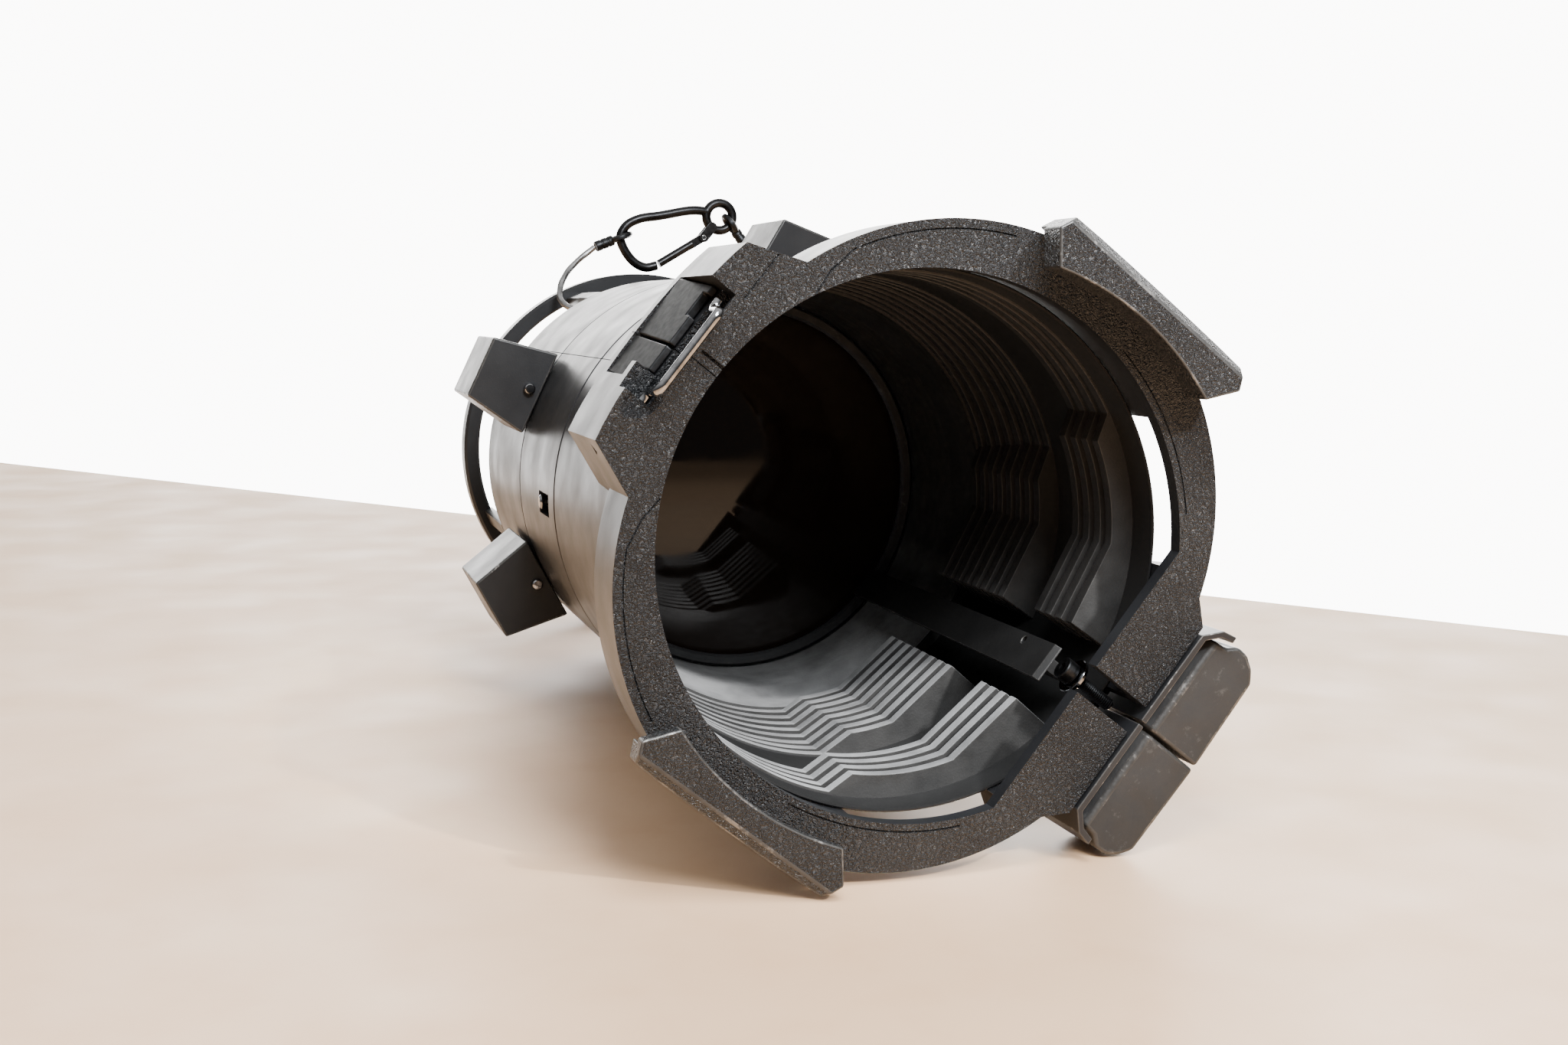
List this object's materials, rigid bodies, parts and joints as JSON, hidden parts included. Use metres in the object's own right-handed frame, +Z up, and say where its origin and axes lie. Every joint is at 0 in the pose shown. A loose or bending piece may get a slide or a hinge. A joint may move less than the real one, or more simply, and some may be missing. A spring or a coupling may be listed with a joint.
{
  "type": "ellipsoidal spotlight lens tube",
  "caption": "Lens tube of an ellipsoidal theatre spotlight, lying on its side: split cast tube with a colour-frame ring, two lenses, a sliding barrel and a safety cable.",
  "frame": {"origin": "middle of the part's footprint on the surface that it lies on, safety cable left out", "axes": "+Z up as it lies; +Y runs back along the tube from the colour-frame ring to the rear ring, 1.69 degrees off the tube's axis; +X to the right seen from the front"},
  "size_m": [0.2018, 0.404, 0.1996],
  "materials": {
    "cast_black": "satin",
    "dark_steel": "satin",
    "chrome": "polished",
    "rubber": "matte",
    "lens_glass": "polished",
    "cable_steel": "satin"
  },
  "bodies": {
    "lens_tube": {"front_ring_right": "cast_black", "latch_plate_right": "dark_steel", "finger_right": "cast_black", "bracket_lip_right": "cast_black", "bumper_right": "rubber", "tube_half_right": "cast_black", "front_ring_left": "cast_black", "latch_plate_left": "dark_steel", "finger_left": "cast_black", "bracket_lip_left": "cast_black", "bumper_left": "rubber", "tube_half_left": "cast_black", "seam_strip": "cast_black", "clamp_screw": "dark_steel", "clamp_washer": "chrome", "front_lens": "lens_glass", "lens_gasket": "rubber", "lens_retainer": "dark_steel", "rear_lens": "lens_glass", "rear_lens_carrier": "cast_black", "guide_screw": "dark_steel"},
    "barrel": {"barrel_half_right": "cast_black", "barrel_half_left": "cast_black", "rear_ring": "cast_black", "fin_1": "cast_black", "fin_screw_1": "chrome", "fin_2": "cast_black", "fin_screw_2": "chrome", "fin_3": "cast_black", "fin_screw_3": "chrome", "fin_4": "cast_black", "fin_screw_4": "chrome", "carabiner_body": "cable_steel", "gate_pin": "dark_steel", "safety_cable": "cable_steel", "cable_loop_eye": "dark_steel", "cable_loop_hook": "dark_steel"},
    "bail": {"retaining_bail": "chrome"},
    "gate": {"carabiner_gate": "cable_steel"}
  },
  "joints": [
    {"name": "focus_slide", "type": "slide", "parent": "lens_tube", "child": "barrel", "axis": [0, 0.9996, -0.0295], "range_m": [0, 0.012]},
    {"name": "bail_hinge", "type": "hinge", "parent": "lens_tube", "child": "bail", "pos_m": [-0.071, -0.1816, 0.1478], "axis": [-0.6252, -0.023, -0.7801], "range_deg": [0, 100]},
    {"name": "gate_hinge", "type": "hinge", "parent": "barrel", "child": "gate", "pos_m": [0.03, 0.1945, 0.1812], "axis": [0, 0.9996, -0.0295], "range_deg": [0, 30], "stiffness_Nm_per_rad": 0.03, "springref_deg": -20.05}
  ]
}
